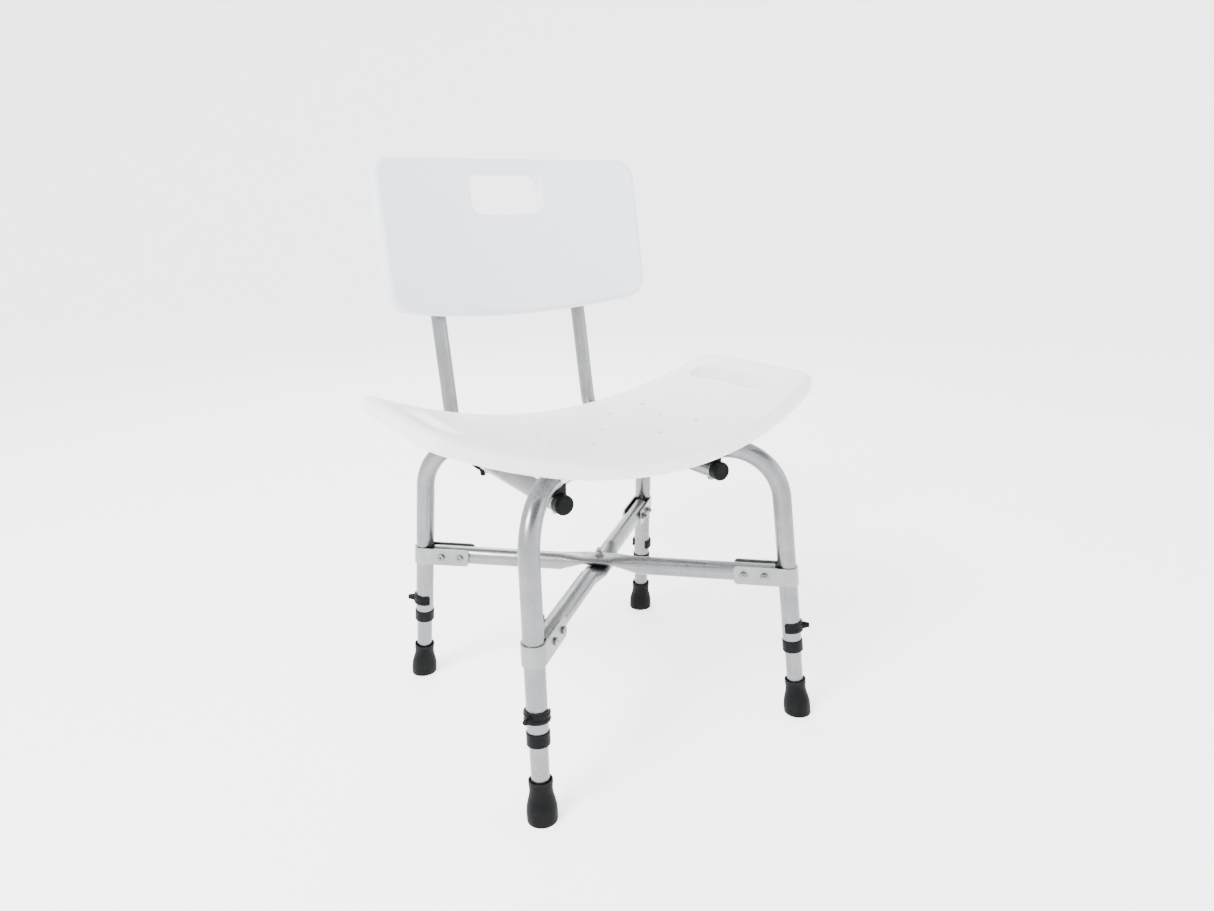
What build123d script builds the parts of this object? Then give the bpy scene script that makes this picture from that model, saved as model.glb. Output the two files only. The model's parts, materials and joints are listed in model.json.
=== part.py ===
from build123d import *
import os
from math import cos, hypot, radians, sin

# Shower chair: a blow-moulded seat and backrest on an aluminium tube frame.
# Millimetres, +Z up, origin on the floor under the middle of the chair.
# The sitter faces -Y. Left and right are as seen from in front.

# Legs: four splayed legs, whose axes meet the floor at the corners of a rectangle
leg_centre_y = -40.5
foot_x = 202.8
foot_y = 199.1
splay_x = 0.045
splay_y = 0.111
FEET = {"front_left": (-1, -1), "front_right": (1, -1), "rear_left": (-1, 1), "rear_right": (1, 1)}

# Tubes: the legs telescope, so the frame tube's bore is the leg tube's size and a running fit
frame_od = 25.4
leg_od = 22.2
fit_clearance = 0.08
frame_id = leg_od + 2 * fit_clearance
leg_wall = 1.5
contact_gap = 0.05
cross_body_gap = 0.3

# Leg bows: two inverted U tubes that cross under the seat
bow_foot_z = 96.0
bow_corner_z = 382.0
bow_bend_radius = 75.0
bow_centre_z = 365.1

# Where two tubes cross, both are pressed to an oval with flat faces
press_half_thickness = 6.2
press_oval_a = 17.6
press_oval_b = 6.8
press_half_length = 22.0
press_end = 56.0

# Height adjustment: a row of holes in each leg tube, and a spring clip with a pin
pin_z = 129.0
hole_pitch = 25.4
pin_radius = 3.0
pin_hole_radius = pin_radius + fit_clearance
leg_top_z = 262.0
leg_end_z = 9.0
CLIP_ANGLES = {"front_left": 208, "front_right": 318, "rear_left": 152, "rear_right": 28}

# Rubber tips, with a steel washer under each leg tube
tip_height = 50.0
tip_base_radius = 18.7
washer_thickness = 1.6

# Collars on the open ends of the frame tubes
collar_bottom_z = 93.0
collar_height = 17.0
collar_lip = 3.0
collar_radius = 14.1

# Cross brace and the straps that clamp it to the legs
brace_z = 203.5
brace_end_gap = 17.0
strap_height = 25.0
strap_thickness = 2.2
strap_inner = frame_od / 2 + 0.1
strap_arm = 72.0
strap_bolt_at = (31.0, 59.0)
strap_lean_gap = 0.27

# M6 hardware
bolt_radius = 2.95
bolt_hole_radius = 3.3
bolt_head_radius = 4.9
bolt_head_height = 3.2
nut_flats = 10.0
nut_height = 5.0

# Receivers: tubes under the leg bows that take the backrest's tubes from behind
receiver_x = 118.8
receiver_z = 349.0
receiver_front = -111.0
receiver_rear = 142.0
receiver_bolt_y = 100.3
receiver_pin_y = 119.0
saddle_size = 22.0

# Backrest tubes: straight into the receiver, then up and leaning back
post_foot_y = 218.3
post_lean = 10.59
post_bend_radius = 60.0
post_front_end = 60.0
post_length = 372.0
post_datum = 73.25
slot_width = 7.6
slot_rear = receiver_bolt_y + 4.5

# Seat: a bowed hollow panel with a hand hole at each end
seat_half_width = 284.9
seat_top_z = 401.9
seat_bow_radius = 646.0
seat_thickness = 22.7
seat_front = -174.1
seat_front_bow = 50.9
seat_rear = 135.6
seat_rear_bow = 11.8
seat_corner = 34.0
seat_edge = 9.0
skin = 3.2
hand_hole_x = 233.5
hand_hole_y = 6.0
hand_hole_width = 31.0
hand_hole_length = 156.0
hand_hole_corner = 13.0
hole_rim_radius = 3.0
drain_radius = 4.0
DRAINS = [(-110, -78), (-52, -78), (52, -78), (110, -78), (-97, -14), (0, -14), (97, -14)]
DRAINS += [(-110, 50), (-52, 50), (52, 50), (110, 50)]

# Threaded inserts moulded into the seat, each in a solid column, and the spacers below them
insert_radius = 4.8
insert_length = 12.0
post_radius = 8.0
spacer_radius = 17.0
spacer_low_z = 375.0
spacer_reach = 27.0
seat_bolt_top = 403.0
centre_column_radius = 13.0

# Backrest: a hollow panel curved round the sitter's back
back_half_width = 211.5
back_bow_radius = 620.0
back_thickness = 22.0
back_front_n = -35.2
back_bottom = 110.4
back_bottom_bow = 15.0
back_top = 342.0
back_top_bow = 8.5
back_edge = 8.5
back_hole_v = 289.4
back_hole_width = 116.0
back_hole_height = 59.0
back_hole_corner = 17.0
back_rim_radius = 4.0
pad_width = 36.0
pad_depth = 28.0
pad_bottom = 134.0
pad_top = 314.0
BACK_SCREWS = (165.0, 282.0)
screw_radius = 2.4
screw_head_radius = 4.6
screw_length = 34.0

os.makedirs("parts", exist_ok=True)


def save(part, name):
    """Label a finished piece and write it to its own file."""
    part.label = name
    export_step(part, f"parts/{name}.step")


def leg_point(foot, z):
    """The point on a leg's axis at height z."""
    sx, sy = foot
    return Vector(sx * (foot_x - splay_x * z), leg_centre_y + sy * (foot_y - splay_y * z), z)


def leg_up(foot):
    """The direction up a leg's axis."""
    return (leg_point(foot, 100) - leg_point(foot, 0)).normalized()


def leg_plane(foot, z, angle=0.0):
    """A plane across a leg, whose X points outward at an angle seen from above."""
    up = leg_up(foot)
    out = Vector(cos(radians(angle)), sin(radians(angle)), 0)
    return Plane(origin=leg_point(foot, z), x_dir=out - up * out.dot(up), z_dir=up)


def plan_direction(foot, z):
    """The level direction from the chair's centre towards a leg at height z, and its distance."""
    point = leg_point(foot, z)
    reach = hypot(point.X, point.Y - leg_centre_y)
    return Vector(point.X, point.Y - leg_centre_y, 0) / reach, reach


def bow_rail_point(foot, distance):
    """A point on a leg bow's straight rail, at a level distance from the centre."""
    out, reach = plan_direction(foot, bow_corner_z)
    rise = (bow_corner_z - bow_centre_z) / reach
    return Vector(0, leg_centre_y, bow_centre_z + rise * distance) + out * distance


def pressed_crossing(foot, centre, press_start, out_start, shrink):
    """Half of a tube's pressed middle: the oval at the centre, and its change to round."""
    out = Vector(out_start.X, out_start.Y, 0).normalized()
    across = Vector(-out.Y, out.X, 0)
    oval = Plane(origin=centre, x_dir=across, z_dir=out)
    with BuildPart() as middle:
        with BuildSketch(oval):
            Ellipse(press_oval_a - shrink, press_oval_b - shrink)
            Rectangle(3 * press_oval_a, 2 * press_half_thickness, mode=Mode.INTERSECT)
        extrude(amount=press_half_length)
        with BuildSketch(oval.offset(press_half_length)):
            Ellipse(press_oval_a - shrink, press_oval_b - shrink)
        with BuildSketch(Plane(origin=press_start, x_dir=across, z_dir=out_start)):
            Circle(frame_od / 2 - shrink)
        loft()
    return middle.part


def pan_head_bolt(head_plane, length, radius=bolt_radius, head=bolt_head_radius):
    """A pan-head bolt: its shank runs from the plane against the plane's Z, its head stands on it."""
    with BuildPart() as bolt:
        with BuildSketch(head_plane):
            Circle(radius)
        extrude(amount=-length)
        with BuildSketch(head_plane):
            Circle(head)
        extrude(amount=bolt_head_height)
        fillet(bolt.edges().filter_by(GeomType.CIRCLE).group_by(SortBy.RADIUS)[-1].sort_by(
            lambda e: (e.center() - head_plane.origin).dot(head_plane.z_dir))[-1], 1.6)
        with BuildSketch(head_plane.offset(bolt_head_height)):
            Rectangle(5.0, 1.2)
            Rectangle(1.2, 5.0)
        extrude(amount=-1.6, mode=Mode.SUBTRACT)
    return bolt.part


def hex_nut(plane, height=nut_height, bore=bolt_radius + contact_gap):
    """A hexagon nut standing on a plane."""
    with BuildPart() as nut:
        with BuildSketch(plane):
            RegularPolygon(radius=nut_flats / 2, side_count=6, major_radius=False)
            Circle(bore, mode=Mode.SUBTRACT)
        extrude(amount=height)
    return nut.part


def round_hole(plane, radius, length, both=True):
    """A plain cylinder to cut a hole, through a plane or down from it."""
    with BuildPart() as hole:
        with BuildSketch(plane):
            Circle(radius)
        extrude(amount=length, both=both)
    return hole.part


# Leg bows

def bow_shape(feet, level, shrink):
    """The solid inside one leg bow's outer surface, or inside its bore when shrunk by the wall."""
    centre = Vector(0, leg_centre_y, bow_centre_z + level * (press_half_thickness + contact_gap / 2))
    with BuildPart() as shape:
        for foot in feet:
            start = leg_point(foot, bow_foot_z)
            rail_end = bow_rail_point(foot, press_end)
            corner = leg_point(foot, bow_corner_z)
            with BuildLine() as path:
                FilletPolyline(start, corner, rail_end, radius=bow_bend_radius)
            side = leg_up(foot).cross(corner - rail_end)
            with BuildSketch(Plane(origin=start, x_dir=side, z_dir=corner - start)):
                Circle(frame_od / 2 - shrink)
            sweep(path=path.line)
            add(pressed_crossing(foot, centre, rail_end, corner - rail_end, shrink))
    return shape.part


frame_wall = (frame_od - frame_id) / 2
bow_feet = {"upper": ("front_right", "rear_left"), "lower": ("front_left", "rear_right")}
bow_outer = {}
for layer, names in bow_feet.items():
    level = 1 if layer == "upper" else -1
    feet = [FEET[name] for name in names]
    bow_outer[layer] = bow_shape(feet, level, 0.0)
    with BuildPart() as leg_bow:
        add(bow_outer[layer])
        add(bow_shape(feet, level, frame_wall), mode=Mode.SUBTRACT)
        add(round_hole(Plane.XY.offset(bow_centre_z).move(Pos(0, leg_centre_y, 0)), bolt_hole_radius, 40),
            mode=Mode.SUBTRACT)
        for name in names:
            sx, sy = FEET[name]
            bolt_axis = Plane(origin=(sx * receiver_x, leg_centre_y + sy * receiver_bolt_y, bow_centre_z))
            add(round_hole(bolt_axis, bolt_hole_radius, 60), mode=Mode.SUBTRACT)
            pin_plane = leg_plane(FEET[name], pin_z, CLIP_ANGLES[name])
            pin_axis = Plane(origin=pin_plane.origin, z_dir=pin_plane.x_dir)
            add(round_hole(pin_axis, pin_hole_radius, frame_od, both=False), mode=Mode.SUBTRACT)
    save(leg_bow.part, f"leg_bow_{layer}")

crossing_base = bow_centre_z - 2 * press_half_thickness - contact_gap / 2
crossing_top = bow_centre_z + 2 * press_half_thickness + contact_gap / 2
bow_bolt = pan_head_bolt(
    Plane(origin=(0, leg_centre_y, crossing_top), z_dir=(0, 0, 1)), crossing_top - crossing_base + 7.5)
save(bow_bolt, "bow_bolt")
bow_nut = hex_nut(Plane(origin=(0, leg_centre_y, crossing_base), z_dir=(0, 0, -1)))
save(bow_nut, "bow_nut")


# Cross brace: two tubes pressed flat where they cross, each end filled by a plastic plug

def brace_shape(feet, level, shrink):
    """The solid inside one brace tube's outer surface, or inside its bore when shrunk by the wall."""
    centre = Vector(0, leg_centre_y, brace_z + level * (press_half_thickness + contact_gap / 2))
    with BuildPart() as shape:
        for foot in feet:
            out, reach = plan_direction(foot, brace_z)
            start = Vector(0, leg_centre_y, brace_z) + out * press_end
            across = Vector(-out.Y, out.X, 0)
            with BuildSketch(Plane(origin=start, x_dir=across, z_dir=out)):
                Circle(frame_od / 2 - shrink)
            extrude(amount=reach - brace_end_gap - press_end)
            add(pressed_crossing(foot, centre, start, out, shrink))
    return shape.part


def strap_bolt_planes(foot):
    """The two planes across a strap's bolts, on the brace's axis, with Z along each bolt."""
    out, reach = plan_direction(foot, brace_z)
    across = Vector(-out.Y, out.X, 0)
    middle = Vector(0, leg_centre_y, brace_z)
    return [Plane(origin=middle + out * (reach - at), x_dir=out, z_dir=across) for at in strap_bolt_at]


for layer, names in bow_feet.items():
    level = 1 if layer == "upper" else -1
    feet = [FEET[name] for name in names]
    with BuildPart() as brace_tube:
        add(brace_shape(feet, level, 0.0))
        add(brace_shape(feet, level, frame_wall), mode=Mode.SUBTRACT)
        add(round_hole(Plane(origin=(0, leg_centre_y, brace_z)), bolt_hole_radius, 30), mode=Mode.SUBTRACT)
        for foot in feet:
            for plane in strap_bolt_planes(foot):
                add(round_hole(plane, bolt_hole_radius, frame_od), mode=Mode.SUBTRACT)
    save(brace_tube.part, f"brace_tube_{layer}")

plug_flange = 3.0
plug_depth = 8.0
with BuildPart() as brace_plugs:
    for foot in FEET.values():
        out, reach = plan_direction(foot, brace_z)
        tube_end = Vector(0, leg_centre_y, brace_z) + out * (reach - brace_end_gap)
        plug_plane = Plane(origin=tube_end, z_dir=out)
        with BuildSketch(plug_plane):
            Circle(frame_od / 2 - 0.3)
        extrude(amount=plug_flange)
        with BuildSketch(plug_plane):
            Circle(frame_id / 2 - contact_gap)
        extrude(amount=-plug_depth)
        add(round_hole(Plane(origin=leg_point(foot, brace_z), z_dir=leg_up(foot)), frame_od / 2, 30),
            mode=Mode.SUBTRACT)
save(brace_plugs.part, "brace_plugs")

strap_outer = strap_inner + strap_thickness
strap_base_z = brace_z - strap_height / 2
for name, foot in FEET.items():
    out, _ = plan_direction(foot, brace_z)
    up = leg_up(foot)
    base = Plane(origin=leg_point(foot, strap_base_z), x_dir=out * -1, z_dir=(0, 0, 1))
    with BuildPart() as strap:
        with BuildSketch(base):
            Circle(strap_outer)
            Rectangle(strap_arm, 2 * strap_outer, align=(Align.MIN, Align.CENTER))
            Circle(strap_inner, mode=Mode.SUBTRACT)
            Rectangle(strap_arm, 2 * strap_inner, align=(Align.MIN, Align.CENTER), mode=Mode.SUBTRACT)
        extrude(amount=strap_height / up.Z, dir=up)
        arm_ends = strap.edges().filter_by(Axis((0, 0, 0), base.y_dir)).sort_by(Axis(base.origin, base.x_dir))
        fillet(arm_ends[-4:], 5.0)
        for plane in strap_bolt_planes(foot):
            add(round_hole(plane, bolt_hole_radius, 2 * strap_outer), mode=Mode.SUBTRACT)
    save(strap.part, f"strap_{name}")

strap_bolts = []
strap_nuts = []
for name, foot in FEET.items():
    for plane in strap_bolt_planes(foot):
        seat_at = strap_outer + strap_lean_gap
        strap_bolts.append(pan_head_bolt(plane.offset(seat_at), 2 * seat_at + nut_height + 2.5))
        nut_plane = Plane(origin=plane.origin - plane.z_dir * seat_at, z_dir=plane.z_dir * -1)
        strap_nuts.append(hex_nut(nut_plane))
with BuildPart() as strap_bolt_set:
    add(strap_bolts)
save(strap_bolt_set.part, "strap_bolts")
with BuildPart() as strap_nut_set:
    add(strap_nuts)
save(strap_nut_set.part, "strap_nuts")

brace_base = brace_z - 2 * press_half_thickness - contact_gap / 2
brace_top = brace_z + 2 * press_half_thickness + contact_gap / 2
brace_washer = 1.2
with BuildPart() as brace_washers:
    for z in (brace_base - brace_washer, brace_top):
        with BuildSketch(Plane(origin=(0, leg_centre_y, z))):
            Circle(7.5)
            Circle(bolt_hole_radius, mode=Mode.SUBTRACT)
        extrude(amount=brace_washer)
save(brace_washers.part, "brace_washers")
brace_bolt = pan_head_bolt(
    Plane(origin=(0, leg_centre_y, brace_base - brace_washer), z_dir=(0, 0, -1)),
    brace_top - brace_base + 2 * brace_washer + nut_height + 4.5)
save(brace_bolt, "brace_bolt")
save(hex_nut(Plane(origin=(0, leg_centre_y, brace_top + brace_washer))), "brace_nut")


# Telescoping legs: tube, washer, rubber tip, collar and spring clip

def spring_clip(plane, bar_radius):
    """A C-shaped spring clip round a bar, with a pin into it and a knob to pull it off by."""
    inside = bar_radius + cross_body_gap
    band = 2.6
    height = 13.0
    with BuildPart() as clip:
        with BuildSketch(plane.offset(-height / 2)):
            Circle(inside + band)
            Circle(inside, mode=Mode.SUBTRACT)
            Polygon((0, 0), (-30, 43), (-60, 0), (-30, -43), align=None, mode=Mode.SUBTRACT)
        extrude(amount=height)
        for rib in (-4.2, 2.6):
            with BuildSketch(plane.offset(rib)):
                Circle(inside + band + 0.6)
                Circle(inside + band / 2, mode=Mode.SUBTRACT)
                Polygon((0, 0), (-30, 43), (-60, 0), (-30, -43), align=None, mode=Mode.SUBTRACT)
            extrude(amount=1.6)
        pin_plane = Plane(origin=plane.origin, x_dir=plane.z_dir, z_dir=plane.x_dir)
        with BuildSketch(pin_plane.offset(inside + band / 2)):
            Circle(5.4)
        with BuildSketch(pin_plane.offset(inside + band + 9)):
            Circle(3.2)
        loft()
        fillet(clip.edges().filter_by(GeomType.CIRCLE).sort_by(Axis(plane.origin, plane.x_dir))[-1], 1.0)
        with BuildSketch(pin_plane.offset(bar_radius - 4.4)):
            Circle(pin_radius)
        extrude(amount=4.4 + cross_body_gap + band / 2)
    return clip.part


def collar_shape(plane, lip_radius, bore):
    """A collar whose lip, at the plane, hides the end of the tube it is pushed onto."""
    with BuildPart() as collar:
        with BuildSketch(plane):
            Circle(collar_radius)
        extrude(amount=collar_height)
        fillet(collar.edges().filter_by(GeomType.CIRCLE), 1.2)
        add(round_hole(plane, lip_radius, collar_height), mode=Mode.SUBTRACT)
        add(round_hole(plane.offset(collar_lip), bore, collar_height, both=False), mode=Mode.SUBTRACT)
    return collar.part


for name, foot in FEET.items():
    up = leg_up(foot)
    pin_plane = leg_plane(foot, pin_z, CLIP_ANGLES[name])
    end_plane = leg_plane(foot, leg_end_z)
    leg_length = (leg_top_z - leg_end_z) / up.Z
    with BuildPart() as leg_tube:
        with BuildSketch(end_plane):
            Circle(leg_od / 2)
            Circle(leg_od / 2 - leg_wall, mode=Mode.SUBTRACT)
        extrude(amount=leg_length)
        for step in range(-1, 5):
            centre = pin_plane.origin + up * (step * hole_pitch)
            add(round_hole(Plane(origin=centre, z_dir=pin_plane.x_dir), pin_hole_radius, leg_od, both=False),
                mode=Mode.SUBTRACT)
    save(leg_tube.part, f"leg_tube_{name}")

    with BuildPart() as washer:
        with BuildSketch(end_plane.offset(-washer_thickness)):
            Circle(leg_od / 2)
            Circle(4.0, mode=Mode.SUBTRACT)
        extrude(amount=washer_thickness)
    save(washer.part, f"leg_washer_{name}")

    floor_plane = leg_plane(foot, 0)
    section = Plane(origin=floor_plane.origin, x_dir=floor_plane.x_dir, z_dir=-floor_plane.y_dir)
    with BuildPart() as tip:
        with BuildSketch(section):
            with BuildLine():
                foot_edge = Line((0, -6), (tip_base_radius - 1.0, -6))
                heel = Line(foot_edge @ 1, (tip_base_radius - 0.2, 3))
                bulge = Spline(heel @ 1, (17.7, 19), (15.0, 30), (13.9, 40), tangents=((0.02, 1), (-0.02, 1)))
                rim = Line(bulge @ 1, (14.6, tip_height - 4))
                lip = Line(rim @ 1, (14.6, tip_height))
                mouth = Line(lip @ 1, (13.2, tip_height))
                throat = Line(mouth @ 1, (leg_od / 2, tip_height - 2.5))
                bore_end = leg_end_z / up.Z - washer_thickness
                wall = Line(throat @ 1, (leg_od / 2, bore_end))
                floor_line = Line(wall @ 1, (0, bore_end))
                Line(floor_line @ 1, foot_edge @ 0)
            make_face()
        revolve(axis=Axis(floor_plane.origin, up))
        split(bisect_by=Plane.XY, keep=Keep.TOP)
    save(tip.part, f"leg_tip_{name}")

    collar = collar_shape(leg_plane(foot, collar_bottom_z), leg_od / 2 + cross_body_gap, frame_od / 2)
    save(collar, f"leg_collar_{name}")
    save(spring_clip(pin_plane, frame_od / 2), f"leg_clip_{name}")


# Receivers under the leg bows: tube, front cap, rear collar, spring clip and saddles

SIDES = {"left": -1, "right": 1}
saddle_low_z = receiver_z + 4.0
saddle_high_z = 371.0
crossings = [(sx, sy) for sx in (-1, 1) for sy in (-1, 1)]


def receiver_plane(side, y, z_dir=(0, 1, 0)):
    """A plane across a receiver tube's axis."""
    origin = (SIDES[side] * receiver_x, leg_centre_y + y, receiver_z)
    return Plane(origin=origin, x_dir=(1, 0, 0), z_dir=z_dir)


def bolt_plane(sx, sy, z, z_dir=(0, 0, 1)):
    """A level plane on the axis of one of the four seat bolts."""
    return Plane(origin=(sx * receiver_x, leg_centre_y + sy * receiver_bolt_y, z), z_dir=z_dir)


receiver_length = receiver_rear - receiver_front
for side, sx in SIDES.items():
    front = receiver_plane(side, receiver_front)
    clip_plane = Plane(origin=receiver_plane(side, receiver_pin_y).origin, x_dir=(0, 0, -1), z_dir=(0, 1, 0))
    with BuildPart() as receiver:
        with BuildSketch(front):
            Circle(frame_od / 2)
            Circle(frame_id / 2, mode=Mode.SUBTRACT)
        extrude(amount=receiver_length)
        for sy in (-1, 1):
            add(round_hole(bolt_plane(sx, sy, receiver_z), bolt_hole_radius, frame_od), mode=Mode.SUBTRACT)
        pin_axis = Plane(origin=clip_plane.origin, z_dir=(0, 0, -1))
        add(round_hole(pin_axis, pin_hole_radius, frame_od, both=False), mode=Mode.SUBTRACT)
    save(receiver.part, f"receiver_tube_{side}")

    cap_length = 14.0
    with BuildPart() as cap:
        with BuildSketch(front):
            Circle(frame_od / 2)
        extrude(amount=-cap_length)
        fillet(cap.edges().filter_by(GeomType.CIRCLE).sort_by(Axis.Y)[0], 4.0)
        fillet(cap.edges().filter_by(GeomType.CIRCLE).sort_by(Axis.Y)[-1], 0.8)
        with BuildSketch(front):
            Circle(frame_id / 2 - contact_gap)
        extrude(amount=5.0)
    save(cap.part, f"receiver_cap_{side}")

    collar_plane = receiver_plane(side, receiver_rear + collar_lip, z_dir=(0, -1, 0))
    save(collar_shape(collar_plane, leg_od / 2 + cross_body_gap, frame_od / 2), f"receiver_collar_{side}")
    save(spring_clip(clip_plane, frame_od / 2), f"receiver_clip_{side}")

with BuildPart() as saddles:
    for sx, sy in crossings:
        with BuildSketch(bolt_plane(sx, sy, saddle_low_z)):
            RectangleRounded(saddle_size, saddle_size, 5.0)
            Circle(bolt_hole_radius, mode=Mode.SUBTRACT)
        extrude(amount=saddle_high_z - saddle_low_z)
    for side in SIDES:
        add(round_hole(receiver_plane(side, 0), frame_od / 2, receiver_length), mode=Mode.SUBTRACT)
    for layer in bow_outer:
        add(bow_outer[layer], mode=Mode.SUBTRACT)
save(saddles.part, "receiver_saddles")


# Backrest tubes: slotted front end, bend and post

post_direction = Vector(0, sin(radians(post_lean)), cos(radians(post_lean)))
back_normal = Vector(0, cos(radians(post_lean)), -sin(radians(post_lean)))


def post_point(sx, length):
    """A point on a post's axis, at a distance up from the receivers' level."""
    return Vector(sx * receiver_x, leg_centre_y + post_foot_y, receiver_z) + post_direction * length


post_plugs = []
for side, sx in SIDES.items():
    front_end = Vector(sx * receiver_x, leg_centre_y + post_front_end, receiver_z)
    with BuildPart() as back_tube:
        with BuildLine() as path:
            FilletPolyline(front_end, post_point(sx, 0), post_point(sx, post_length), radius=post_bend_radius)
        with BuildSketch(Plane(origin=front_end, x_dir=(1, 0, 0), z_dir=(0, 1, 0))):
            Circle(leg_od / 2)
            Circle(leg_od / 2 - leg_wall, mode=Mode.SUBTRACT)
        sweep(path=path.line)
        slot_length = slot_rear - post_front_end
        with BuildSketch(Plane.XY.offset(receiver_z)):
            with Locations((sx * receiver_x, leg_centre_y + post_front_end)):
                Rectangle(slot_width, 2 * (slot_length - slot_width / 2))
            with Locations((sx * receiver_x, leg_centre_y + slot_rear - slot_width / 2)):
                Circle(slot_width / 2)
        extrude(amount=leg_od, both=True, mode=Mode.SUBTRACT)
        pin_axis = Plane(origin=receiver_plane(side, receiver_pin_y).origin, z_dir=(0, 0, -1))
        add(round_hole(pin_axis, pin_hole_radius, leg_od, both=False), mode=Mode.SUBTRACT)
        for v in BACK_SCREWS:
            screw_axis = Plane(origin=post_point(sx, v + post_datum), z_dir=back_normal)
            add(round_hole(screw_axis, bolt_hole_radius, leg_od), mode=Mode.SUBTRACT)
    save(back_tube.part, f"back_tube_{side}")

    with BuildPart() as plug:
        top_plane = Plane(origin=post_point(sx, post_length), z_dir=post_direction)
        with BuildSketch(top_plane):
            Circle(leg_od / 2)
        extrude(amount=3.0)
        fillet(plug.edges().filter_by(GeomType.CIRCLE).sort_by(Axis.Z)[-1], 1.5)
        with BuildSketch(top_plane):
            Circle(leg_od / 2 - leg_wall - contact_gap)
        extrude(amount=-12.0)
    post_plugs.append(plug.part)
with BuildPart() as back_tube_plugs:
    add(post_plugs)
save(back_tube_plugs.part, "back_tube_plugs")


# Seat panel

def bowed_slab(plane, radius, thickness, half_width, depth):
    """A slab bent round an axis: the plane's X runs across it, its Y points from the hollow side outward."""
    angle = 1.06 * half_width / radius
    inner_end = (radius * sin(angle), radius * cos(angle) - radius)
    outer_end = ((radius + thickness) * sin(angle), (radius + thickness) * cos(angle) - radius)
    with BuildPart() as slab:
        with BuildSketch(plane):
            with BuildLine():
                ThreePointArc((-inner_end[0], inner_end[1]), (0, 0), inner_end)
                Line(inner_end, outer_end)
                ThreePointArc(outer_end, (0, thickness), (-outer_end[0], outer_end[1]))
                Line((-outer_end[0], outer_end[1]), (-inner_end[0], inner_end[1]))
            make_face()
        extrude(amount=depth, both=True)
    return slab.part


def seat_shape(inset):
    """The seat's outer shape, or the hollow inside it when inset by its skin."""
    half = seat_half_width - inset
    front = leg_centre_y + seat_front + inset
    rear = leg_centre_y + seat_rear - inset
    bow_plane = Plane(origin=(0, leg_centre_y, seat_top_z - inset), x_dir=(1, 0, 0), z_dir=(0, 1, 0))
    with BuildPart() as shape:
        add(bowed_slab(bow_plane, seat_bow_radius + inset, seat_thickness - 2 * inset, half, 200.0))
        with BuildSketch(Plane.XY.offset(seat_top_z - 60)):
            with BuildLine():
                ThreePointArc((-half, front + seat_front_bow), (0, front), (half, front + seat_front_bow))
                Line((half, front + seat_front_bow), (half, rear - seat_rear_bow))
                ThreePointArc((half, rear - seat_rear_bow), (0, rear), (-half, rear - seat_rear_bow))
                Line((-half, rear - seat_rear_bow), (-half, front + seat_front_bow))
            outline = make_face()
            fillet(outline.vertices(), seat_corner - inset)
        extrude(amount=200.0, mode=Mode.INTERSECT)
        broad = shape.faces().sort_by(SortBy.AREA)[-2:]
        fillet(broad[0].edges() + broad[1].edges(), seat_edge - inset)
    return shape.part


def seat_columns(grow):
    """Columns through the seat at its hand holes and drain holes, grown by a wall."""
    with BuildPart() as columns:
        with BuildSketch(Plane.XY.offset(seat_top_z - 60)):
            with Locations([(sx * hand_hole_x, leg_centre_y + hand_hole_y) for sx in (-1, 1)]):
                width = hand_hole_width + 2 * grow
                RectangleRounded(width, hand_hole_length + 2 * grow, hand_hole_corner + grow)
            with Locations([(x, leg_centre_y + y) for x, y in DRAINS]):
                Circle(drain_radius + grow)
        extrude(amount=200.0)
    return columns.part


with BuildPart() as cavity:
    add(seat_shape(skin))
    add(seat_columns(skin), mode=Mode.SUBTRACT)
    for sx, sy in crossings:
        add(round_hole(bolt_plane(sx, sy, seat_top_z), post_radius + 1.0, 60), mode=Mode.SUBTRACT)
    add(round_hole(Plane(origin=(0, leg_centre_y, seat_top_z)), centre_column_radius, 60), mode=Mode.SUBTRACT)

with BuildPart() as seat_panel:
    add(seat_shape(0.0))
    add(seat_columns(0.0), mode=Mode.SUBTRACT)
    for sx in (-1, 1):
        inner = sx * hand_hole_x - hand_hole_width / 2 - 1
        rims = seat_panel.edges().filter_by_position(Axis.X, inner, inner + hand_hole_width + 2)
        fillet(rims.filter_by(lambda edge: abs(edge.tangent_at(0.5).Z) < 0.9), hole_rim_radius)
    add(cavity.part, mode=Mode.SUBTRACT)
    for layer in bow_outer:
        add(bow_outer[layer], mode=Mode.SUBTRACT)
    for sx, sy in crossings:
        insert_base = bolt_plane(sx, sy, seat_bolt_top - insert_length)
        add(round_hole(insert_base, insert_radius, insert_length + 1.0, both=False), mode=Mode.SUBTRACT)
        below = bolt_plane(sx, sy, seat_bolt_top - insert_length, z_dir=(0, 0, -1))
        add(round_hole(below, bolt_hole_radius, 40, both=False), mode=Mode.SUBTRACT)
    head_recess = Plane(origin=(0, leg_centre_y, seat_top_z - seat_thickness))
    add(round_hole(head_recess, bolt_head_radius + 1.0, 4.0), mode=Mode.SUBTRACT)
save(seat_panel.part, "seat_panel")

with BuildPart() as seat_spacers:
    for sx, sy in crossings:
        with BuildSketch(bolt_plane(sx, sy, spacer_low_z)):
            Circle(spacer_radius)
            Circle(bolt_hole_radius, mode=Mode.SUBTRACT)
        extrude(amount=spacer_reach)
    add(seat_shape(0.0), mode=Mode.SUBTRACT)
    for layer in bow_outer:
        add(bow_outer[layer], mode=Mode.SUBTRACT)
save(seat_spacers.part, "seat_spacers")

with BuildPart() as seat_inserts:
    for sx, sy in crossings:
        with BuildSketch(bolt_plane(sx, sy, seat_bolt_top - insert_length)):
            Circle(insert_radius)
            Circle(bolt_radius + contact_gap, mode=Mode.SUBTRACT)
        extrude(amount=insert_length)
save(seat_inserts.part, "seat_inserts")

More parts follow.
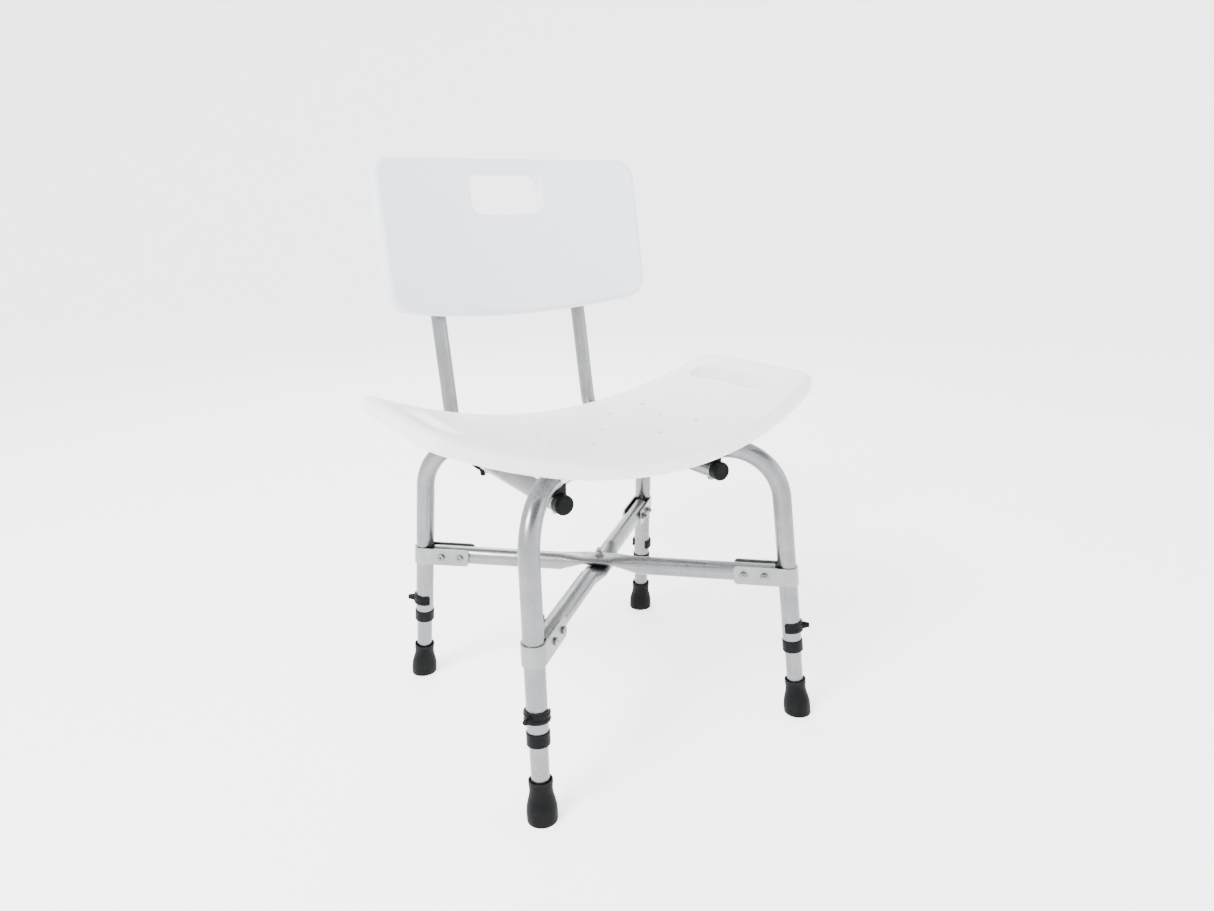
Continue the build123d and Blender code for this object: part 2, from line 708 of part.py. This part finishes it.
bolt_head_z = receiver_z - frame_od / 2
seat_bolts = []
for sx, sy in crossings:
    head_plane = bolt_plane(sx, sy, bolt_head_z, z_dir=(0, 0, -1))
    seat_bolts.append(pan_head_bolt(head_plane, seat_bolt_top - bolt_head_z))
with BuildPart() as seat_bolt_set:
    add(seat_bolts)
save(seat_bolt_set.part, "seat_bolts")


# Backrest panel, curved round the sitter, on pads that hold the posts

back_origin = post_point(0, post_datum)
panel_plane = Plane(origin=back_origin, x_dir=(1, 0, 0), z_dir=back_normal * -1)


def back_shape(inset):
    """The backrest's outer shape, or the hollow inside it when inset by its skin."""
    half = back_half_width - inset
    bottom = back_bottom + inset
    top = back_top - inset
    front = back_origin + back_normal * (back_front_n + inset)
    bow_plane = Plane(origin=front + post_direction * 230, x_dir=(1, 0, 0), z_dir=post_direction)
    corners = [(-half, bottom + back_bottom_bow), (half, bottom + back_bottom_bow)]
    corners += [(half, top - back_top_bow), (-half, top - back_top_bow)]
    with BuildPart() as shape:
        add(bowed_slab(bow_plane, back_bow_radius + inset, back_thickness - 2 * inset, half, 150.0))
        with BuildSketch(panel_plane.offset(-60)):
            with BuildLine():
                ThreePointArc(corners[0], (0, bottom), corners[1])
                Line(corners[1], corners[2])
                ThreePointArc(corners[2], (0, top), corners[3])
                Line(corners[3], corners[0])
            outline = make_face()
            fillet(outline.vertices().group_by(Axis.Z)[-1], 30.0 - inset)
            fillet(outline.vertices().group_by(Axis.Z)[0], 42.0 - inset)
        extrude(amount=180.0, mode=Mode.INTERSECT)
        broad = shape.faces().sort_by(SortBy.AREA)[-2:]
        fillet(broad[0].edges() + broad[1].edges(), back_edge - inset)
    return shape.part


def back_hole(grow):
    """A column through the backrest at its hand hole, grown by a wall."""
    with BuildPart() as column:
        with BuildSketch(panel_plane.offset(-60)):
            with Locations((0, back_hole_v)):
                width = back_hole_width + 2 * grow
                RectangleRounded(width, back_hole_height + 2 * grow, back_hole_corner + grow)
        extrude(amount=180.0)
    return column.part


screw_places = [(sx, v) for sx in (-1, 1) for v in BACK_SCREWS]
with BuildPart() as back_cavity:
    add(back_shape(skin))
    add(back_hole(skin), mode=Mode.SUBTRACT)
    for sx, v in screw_places:
        column = Plane(origin=post_point(sx, v + post_datum), z_dir=back_normal)
        add(round_hole(column, post_radius, 60), mode=Mode.SUBTRACT)

with BuildPart() as pads:
    for sx in (-1, 1):
        pad_base = post_point(sx, pad_bottom + post_datum)
        with BuildSketch(Plane(origin=pad_base, x_dir=(1, 0, 0), z_dir=post_direction)):
            with Locations((0, -pad_depth / 2)):
                RectangleRounded(pad_width, pad_depth, 5.0)
        extrude(amount=pad_top - pad_bottom)

with BuildPart() as backrest_panel:
    add(back_shape(0.0))
    add(back_hole(0.0), mode=Mode.SUBTRACT)
    reach = back_hole_width / 2 + 1
    rims = backrest_panel.edges().filter_by_position(Axis.X, -reach, reach)
    low = back_hole_v - back_hole_height / 2 - 1
    up_posts = Axis(back_origin, post_direction)
    rims = rims.filter_by_position(up_posts, low, low + back_hole_height + 2)
    fillet(rims.filter_by(lambda edge: abs(edge.tangent_at(0.5).dot(back_normal)) < 0.9), back_rim_radius)
    add(pads.part)
    for sx in (-1, 1):
        groove_base = post_point(sx, pad_bottom + post_datum - 10)
        groove = Plane(origin=groove_base, x_dir=(1, 0, 0), z_dir=post_direction)
        add(round_hole(groove, leg_od / 2, 400, both=False), mode=Mode.SUBTRACT)
    add(back_cavity.part, mode=Mode.SUBTRACT)
    for sx, v in screw_places:
        pilot = Plane(origin=post_point(sx, v + post_datum), z_dir=back_normal * -1)
        add(round_hole(pilot, screw_radius + contact_gap, screw_length, both=False), mode=Mode.SUBTRACT)
save(backrest_panel.part, "backrest_panel")

back_screws = []
for sx, v in screw_places:
    head_base = post_point(sx, v + post_datum) + back_normal * (leg_od / 2)
    head_plane = Plane(origin=head_base, z_dir=back_normal)
    reach = leg_od / 2 + screw_length - 1
    back_screws.append(pan_head_bolt(head_plane, reach, radius=screw_radius, head=screw_head_radius))
with BuildPart() as back_screw_set:
    add(back_screws)
save(back_screw_set.part, "back_screws")
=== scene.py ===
import json
from math import atan2, cos, pi, sin

import bmesh
import bpy
from mathutils import Matrix, Vector

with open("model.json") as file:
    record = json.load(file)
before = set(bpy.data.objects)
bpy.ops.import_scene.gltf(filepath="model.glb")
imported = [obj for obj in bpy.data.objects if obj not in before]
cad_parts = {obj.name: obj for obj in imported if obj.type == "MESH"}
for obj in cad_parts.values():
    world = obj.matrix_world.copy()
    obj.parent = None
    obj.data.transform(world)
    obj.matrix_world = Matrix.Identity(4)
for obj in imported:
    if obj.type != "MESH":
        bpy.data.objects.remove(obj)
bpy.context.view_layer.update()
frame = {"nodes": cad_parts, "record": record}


# Materials. Colours are linear, lengths are in metres and noise scales are per metre.

EVEN = (1, 1, 1)
ALONG_HEIGHT = (1, 1, 0.06)
ALONG_LEVEL_TUBE = (0.06, 1, 1)
ROUND_STRAP = (1, 1, 8)
MOULDED_RIPPLES = (0.7, 1.6, 5.0)

CLOUD_SCALE = 26.0
DRAW_LINE_SCALE = 420.0
RUB_SCALE = 11.0
FLOW_SCALE = 6.0
RIPPLE_SCALE = 34.0
DUST_PATCH_SCALE = 42.0
FLOOR_TONE_SCALE = 2.0

GRAIN_ROUGHNESS = 0.05
RUB_ROUGHNESS = 0.09
BLACK_GRAIN_ROUGHNESS = 0.08
PLASTIC_SOFTNESS = 0.06
PLASTIC_LIGHT_DEPTH = 0.006
BLACK_SPECULAR = 0.07
BLACK_GRAIN_DEPTH = 0.00006
BLACK = (0.002, 0.0025, 0.003)
RUBBED_BLACK = (0.012, 0.012, 0.013)

TUBE_METAL = {
    "color": (0.19, 0.194, 0.20),
    "darker": (0.16, 0.164, 0.17),
    "roughness": 0.27,
    "grain_scale": 900.0,
    "bump_distance": 0.00001,
    "streaks": 0.35,
}


def new_material(name, color, metallic=0.0, roughness=0.5):
    """A node material, its node tree, its Principled shader and its object coordinates."""
    material = bpy.data.materials.new(name)
    material.use_nodes = True
    tree = material.node_tree
    shader = tree.nodes["Principled BSDF"]
    shader.inputs["Base Color"].default_value = (*color, 1.0)
    shader.inputs["Metallic"].default_value = metallic
    shader.inputs["Roughness"].default_value = roughness
    coords = tree.nodes.new("ShaderNodeTexCoord")
    return material, tree, shader, coords.outputs["Object"]


def noise(tree, coords, scale, detail=3.0, stretch=EVEN, distortion=0.0, turn=0.0):
    """A noise texture's value. Its frequency is multiplied by stretch along axes turned about Z."""
    source = coords
    if stretch != EVEN:
        mapping = tree.nodes.new("ShaderNodeMapping")
        mapping.vector_type = "TEXTURE"
        mapping.inputs["Rotation"].default_value = (0, 0, turn)
        mapping.inputs["Scale"].default_value = [1 / part for part in stretch]
        tree.links.new(coords, mapping.inputs["Vector"])
        source = mapping.outputs["Vector"]
    node = tree.nodes.new("ShaderNodeTexNoise")
    node.inputs["Scale"].default_value = scale
    node.inputs["Detail"].default_value = detail
    node.inputs["Distortion"].default_value = distortion
    tree.links.new(source, node.inputs["Vector"])
    return node.outputs["Fac"]


def to_range(tree, value, low, high, from_low=0.3, from_high=0.7):
    """A value mapped onto a range."""
    node = tree.nodes.new("ShaderNodeMapRange")
    node.inputs["From Min"].default_value = from_low
    node.inputs["From Max"].default_value = from_high
    node.inputs["To Min"].default_value = low
    node.inputs["To Max"].default_value = high
    tree.links.new(value, node.inputs["Value"])
    return node.outputs["Result"]


def mixed_color(tree, factor, first, second):
    """Two colours mixed by a factor."""
    node = tree.nodes.new("ShaderNodeMix")
    node.data_type = "RGBA"
    tree.links.new(factor, node.inputs["Factor"])
    for socket, value in ((node.inputs[6], first), (node.inputs[7], second)):
        if isinstance(value, tuple):
            socket.default_value = (*value, 1.0)
        else:
            tree.links.new(value, socket)
    return node.outputs[2]


def bump(tree, shader, height, strength, distance, below=None):
    """A bump map on the shader, on top of the one below."""
    node = tree.nodes.new("ShaderNodeBump")
    node.inputs["Strength"].default_value = strength
    node.inputs["Distance"].default_value = distance
    tree.links.new(height, node.inputs["Height"])
    if below is not None:
        tree.links.new(below, node.inputs["Normal"])
    tree.links.new(node.outputs["Normal"], shader.inputs["Normal"])
    return node.outputs["Normal"]


def edge_wear(tree, low, high):
    """0 on flat surface, rising to 1 along convex edges."""
    geometry = tree.nodes.new("ShaderNodeNewGeometry")
    return to_range(tree, geometry.outputs["Pointiness"], 0.0, 1.0, low, high)


def metal(name, color, darker, roughness, grain_scale, bump_distance,
          grain_stretch=EVEN, streaks=0.0, turn=0.0):
    """A satin metal: fine grain, cloudy tone, rub marks in its roughness, and draw lines if streaked."""
    material, tree, shader, coords = new_material(name, color, metallic=1.0)
    cloud = noise(tree, coords, CLOUD_SCALE, detail=4.0, distortion=0.4)
    grain = noise(tree, coords, grain_scale, detail=5.0, stretch=grain_stretch, turn=turn)
    tone = mixed_color(tree, to_range(tree, cloud, 0.0, 1.0, 0.38, 0.66), color, darker)
    if streaks:
        draw_stretch = tuple(part if part == 1 else part / 3 for part in grain_stretch)
        draw_lines = noise(tree, coords, DRAW_LINE_SCALE, detail=2.0, stretch=draw_stretch, turn=turn)
        line_depth = to_range(tree, draw_lines, 0.0, streaks, 0.45, 0.65)
        tone = mixed_color(tree, line_depth, tone, darker)
    tree.links.new(tone, shader.inputs["Base Color"])
    rubs = noise(tree, coords, RUB_SCALE, detail=6.0, distortion=0.8)
    fine = to_range(tree, grain, roughness - GRAIN_ROUGHNESS, roughness + GRAIN_ROUGHNESS)
    rubbed = to_range(tree, rubs, 0.0, RUB_ROUGHNESS, 0.45, 0.75)
    add = tree.nodes.new("ShaderNodeMath")
    add.operation = "ADD"
    tree.links.new(fine, add.inputs[0])
    tree.links.new(rubbed, add.inputs[1])
    tree.links.new(add.outputs["Value"], shader.inputs["Roughness"])
    bump(tree, shader, grain, strength=0.25, distance=bump_distance)
    return material


def moulded_white(name, white, cooler, pebble_scale, pebble_depth, ripple_depth):
    """White blow-moulded plastic: a fine pebbled skin over faint level ripples, and slow flow marks."""
    material, tree, shader, coords = new_material(name, white, roughness=0.42)
    flow = noise(tree, coords, FLOW_SCALE, distortion=0.6)
    tone = mixed_color(tree, to_range(tree, flow, 0.0, 1.0), white, cooler)
    tree.links.new(tone, shader.inputs["Base Color"])
    pebbles = noise(tree, coords, pebble_scale, detail=2.0)
    tree.links.new(to_range(tree, pebbles, 0.34, 0.54), shader.inputs["Roughness"])
    shader.inputs["Subsurface Weight"].default_value = PLASTIC_SOFTNESS
    shader.inputs["Subsurface Radius"].default_value = (PLASTIC_LIGHT_DEPTH,) * 3
    shader.inputs["Subsurface Scale"].default_value = 1.0
    ripples = noise(tree, coords, RIPPLE_SCALE, stretch=MOULDED_RIPPLES, distortion=0.5)
    rippled = bump(tree, shader, ripples, strength=0.35, distance=ripple_depth)
    bump(tree, shader, pebbles, strength=0.6, distance=pebble_depth, below=rippled)
    return material


def black_moulding(name, roughness, grain_scale, dust):
    """Black plastic or rubber: fine grain, edges rubbed paler, and thin pale dust in soft patches."""
    material, tree, shader, coords = new_material(name, BLACK, roughness=roughness)
    shader.inputs["Specular IOR Level"].default_value = BLACK_SPECULAR
    patches = noise(tree, coords, DUST_PATCH_SCALE, distortion=0.7)
    tone = mixed_color(tree, to_range(tree, patches, 0.0, 1.0, 0.45, 0.75), BLACK, dust)
    tone = mixed_color(tree, edge_wear(tree, 0.53, 0.66), tone, RUBBED_BLACK)
    tree.links.new(tone, shader.inputs["Base Color"])
    grain = noise(tree, coords, grain_scale)
    smoothest = roughness - BLACK_GRAIN_ROUGHNESS
    roughest = roughness + BLACK_GRAIN_ROUGHNESS
    tree.links.new(to_range(tree, grain, smoothest, roughest), shader.inputs["Roughness"])
    bump(tree, shader, grain, strength=0.3, distance=BLACK_GRAIN_DEPTH)
    return material


seat_white = moulded_white(
    "seat_white", white=(0.78, 0.785, 0.78), cooler=(0.755, 0.765, 0.765),
    pebble_scale=750.0, pebble_depth=0.00025, ripple_depth=0.0003)
# The backrest's white is the seat's white painted darker and bluer: painted shade of the upright panel.
back_shaded_white = moulded_white(
    "back_shaded_white", white=(0.69, 0.725, 0.81), cooler=(0.665, 0.705, 0.80),
    pebble_scale=620.0, pebble_depth=0.00035, ripple_depth=0.0007)
slot_finishes = {
    "tube_aluminium": metal("tube_satin", grain_stretch=ALONG_HEIGHT, **TUBE_METAL),
    "strap_aluminium": metal(
        "strap_satin", color=(0.23, 0.234, 0.236), darker=(0.19, 0.194, 0.196), roughness=0.28,
        grain_scale=1200.0, grain_stretch=ROUND_STRAP, bump_distance=0.00002),
    "hardware_steel": metal(
        "zinc_plate", color=(0.24, 0.24, 0.24), darker=(0.15, 0.15, 0.155), roughness=0.26,
        grain_scale=1500.0, bump_distance=0.00003),
    "insert_brass": metal(
        "insert_brass", color=(0.75, 0.58, 0.28), darker=(0.62, 0.46, 0.20), roughness=0.32,
        grain_scale=1500.0, bump_distance=0.00003),
    "white_plastic": seat_white,
    "black_plastic": black_moulding(
        "black_plastic", roughness=0.42, grain_scale=1100.0, dust=(0.004, 0.004, 0.005)),
    "tip_rubber": black_moulding(
        "tip_rubber", roughness=0.55, grain_scale=700.0, dust=(0.005, 0.005, 0.005)),
}

# The backrest gets a darker, bluer copy of the seat's white, painted shade of the upright panel, and
# each level tube has grain along its own direction.
node_finishes = {"backrest_panel": back_shaded_white}
for name in ("brace_tube_upper", "brace_tube_lower", "receiver_tube_left", "receiver_tube_right"):
    points = [vertex.co for vertex in frame["nodes"][name].data.vertices]
    first = min(points, key=lambda point: point.y)
    last = max(points, key=lambda point: point.y)
    turn = atan2(last.y - first.y, last.x - first.x)
    node_finishes[name] = metal(
        f"{name}_satin", grain_stretch=ALONG_LEVEL_TUBE, turn=turn, **TUBE_METAL)
for entry in frame["record"]["subparts"]:
    node = frame["nodes"][entry["node"]]
    finish = node_finishes.get(entry["node"], slot_finishes[entry["material_slot"]])
    if not node.data.materials:
        node.data.materials.append(finish)
    for place in node.material_slots:
        place.link = "OBJECT"
        place.material = finish


# Lights, floor, sky and camera. Places are in metres, and the camera's sensor and lens in millimetres.

SEAT_MIDDLE = (0, 0, 0.4)
SKY_BRIGHT = 1.9
SKY_DIM = 0.22
DIM_SIDE = (0.35, -0.85, -0.25)
FLOOR_FLAT = 5.0
FLOOR_RADIUS = 12.0
FLOOR_RISE = 9.0
FLOOR_GLOW = 1.5
RINGS = 20
SPOKES = 96
CAMERA_PLACE = Vector((-0.56604, -0.99149, 0.68094))
CAMERA_YAW = 0.54925
CAMERA_PITCH = 0.28066
CAMERA_ROLL = -0.016885
SENSOR_WIDTH = 36.0
FOCAL_LENGTH = 24.938


def area_light(name, place, size, power):
    """A soft square light aimed at the middle of the seat."""
    data = bpy.data.lights.new(name, "AREA")
    data.shape = "SQUARE"
    data.size = size
    data.energy = power
    light = bpy.data.objects.new(name, data)
    bpy.context.scene.collection.objects.link(light)
    light.location = place
    aim = Vector(SEAT_MIDDLE) - Vector(place)
    light.rotation_euler = aim.to_track_quat("-Z", "Y").to_euler()


# A level disc whose border curves up like a bowl, so that the floor has no horizon.
floor_bm = bmesh.new()
centre = floor_bm.verts.new((0, 0, 0))
rings = []
for ring in range(RINGS + 1):
    share = ring / RINGS
    radius = FLOOR_FLAT + (FLOOR_RADIUS - FLOOR_FLAT) * share
    height = FLOOR_RISE * share ** 2
    turns = [2 * pi * spoke / SPOKES for spoke in range(SPOKES)]
    places = [(radius * cos(turn), radius * sin(turn), height) for turn in turns]
    rings.append([floor_bm.verts.new(place) for place in places])
for spoke in range(SPOKES):
    following = (spoke + 1) % SPOKES
    floor_bm.faces.new((centre, rings[0][spoke], rings[0][following]))
    for inner, outer in zip(rings, rings[1:]):
        floor_bm.faces.new((inner[spoke], outer[spoke], outer[following], inner[following]))
for face in floor_bm.faces:
    face.smooth = True
floor_mesh = bpy.data.meshes.new("floor")
floor_bm.to_mesh(floor_mesh)
floor_bm.free()
floor = bpy.data.objects.new("floor", floor_mesh)
bpy.context.scene.collection.objects.link(floor)
floor_material, floor_tree, floor_shader, floor_coords = new_material(
    "pale_floor", (0.93, 0.93, 0.93), roughness=0.7)
floor_clouds = noise(floor_tree, floor_coords, FLOOR_TONE_SCALE)
floor_tone = mixed_color(floor_tree, floor_clouds, (0.925, 0.925, 0.925), (0.94, 0.94, 0.94))
floor_tree.links.new(floor_tone, floor_shader.inputs["Base Color"])
floor_shader.inputs["Emission Color"].default_value = (1.0, 1.0, 1.0, 1.0)
floor_shader.inputs["Emission Strength"].default_value = FLOOR_GLOW
floor_mesh.materials.append(floor_material)

world = bpy.data.worlds.new("studio")
world.use_nodes = True
sky = world.node_tree
sky_coords = sky.nodes.new("ShaderNodeTexCoord")
towards_dim = sky.nodes.new("ShaderNodeVectorMath")
towards_dim.operation = "DOT_PRODUCT"
towards_dim.inputs[1].default_value = DIM_SIDE
sky.links.new(sky_coords.outputs["Generated"], towards_dim.inputs[0])
sky_level = to_range(sky, towards_dim.outputs["Value"], SKY_BRIGHT, SKY_DIM, -0.5, 0.9)
sky.links.new(sky_level, sky.nodes["Background"].inputs["Strength"])
sky.nodes["Background"].inputs["Color"].default_value = (1.0, 1.0, 1.0, 1.0)
bpy.context.scene.world = world

area_light("key", place=(-1.9, -0.5, 2.5), size=1.0, power=170.0)
area_light("fill", place=(2.4, -1.6, 1.2), size=1.6, power=14.0)
area_light("rim", place=(0.8, 2.4, 2.2), size=1.4, power=60.0)

# The camera solved from the photo, moved into the part's frame.
forward = Vector((
    sin(CAMERA_YAW) * cos(CAMERA_PITCH),
    cos(CAMERA_YAW) * cos(CAMERA_PITCH),
    -sin(CAMERA_PITCH),
))
level_right = Vector((cos(CAMERA_YAW), -sin(CAMERA_YAW), 0))
level_up = level_right.cross(forward)
right = level_right * cos(CAMERA_ROLL) + level_up * sin(CAMERA_ROLL)
up = level_up * cos(CAMERA_ROLL) - level_right * sin(CAMERA_ROLL)
camera_data = bpy.data.cameras.new("camera")
camera_data.sensor_width = SENSOR_WIDTH
camera_data.lens = FOCAL_LENGTH
camera = bpy.data.objects.new("camera", camera_data)
bpy.context.scene.collection.objects.link(camera)
camera_turn = Matrix((right, up, -forward)).transposed().to_4x4()
camera.matrix_world = Matrix.Translation(CAMERA_PLACE) @ camera_turn
bpy.context.scene.camera = camera
